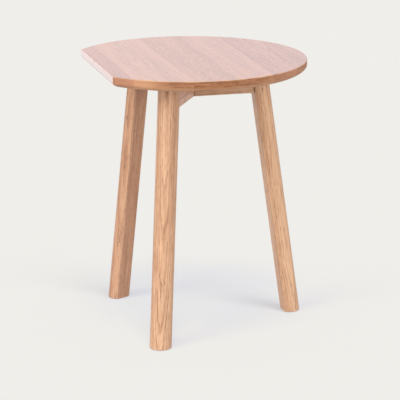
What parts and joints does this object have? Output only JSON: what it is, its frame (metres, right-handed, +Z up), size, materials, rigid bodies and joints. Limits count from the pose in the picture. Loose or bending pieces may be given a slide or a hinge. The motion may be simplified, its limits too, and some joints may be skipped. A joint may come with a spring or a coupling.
{
  "type": "tilt top table",
  "caption": "Small round wooden side table with one straight edge; the top tips up on a rod between splayed round legs and is locked down by a sliding bolt.",
  "frame": {"origin": "on the floor, below the centre of the whole table's bounding box with the top down", "axes": "+Z up; +X from the straight edge of the top towards the single leg on the far side; +Y makes a right-handed frame, along the straight edge"},
  "size_m": [0.395, 0.44, 0.503],
  "materials": {
    "oak_top": "satin lacquered oak boards",
    "oak_frame": "satin lacquered turned oak",
    "beech": "plain beech dowel",
    "steel": "brushed, zinc plated",
    "brass": "satin brass",
    "bronze": "sintered bronze bush",
    "felt": "pressed felt",
    "nylon": "matt nylon"
  },
  "bodies": {
    "frame": {"leg_right": "oak_frame", "leg_front": "oak_frame", "leg_back": "oak_frame", "rail_right": "oak_frame", "rail_front": "oak_frame", "rail_back": "oak_frame", "dowels_right": "beech", "dowels_front": "beech", "dowels_back": "beech", "hub_plate": "steel", "hub_screws": "steel", "pivot_rod": "steel", "bolt_keeper": "brass", "top_buffers": "felt", "glide_right": "nylon", "glide_front": "nylon", "glide_back": "nylon"},
    "top": {"top_board_1": "oak_top", "top_board_2": "oak_top", "top_board_3": "oak_top", "top_board_4": "oak_top", "top_board_5": "oak_top", "bearer_front": "oak_frame", "bearer_back": "oak_frame", "bearer_screws_front": "steel", "bearer_screws_back": "steel", "pivot_bush_front": "bronze", "pivot_bush_back": "bronze", "tilt_stop_pads": "felt", "bolt_carrier": "brass", "bolt_carrier_screws": "brass"},
    "catch": {"catch_bolt": "steel", "catch_knob": "brass"}
  },
  "joints": [
    {"name": "top_tilt", "type": "hinge", "parent": "frame", "child": "top", "pos_m": [-0.0995, 0, 0.465], "axis": [0, -1, 0], "range_deg": [0, 90]},
    {"name": "bolt_slide", "type": "slide", "parent": "top", "child": "catch", "axis": [0, -1, 0], "range_m": [0, 0.012]}
  ]
}
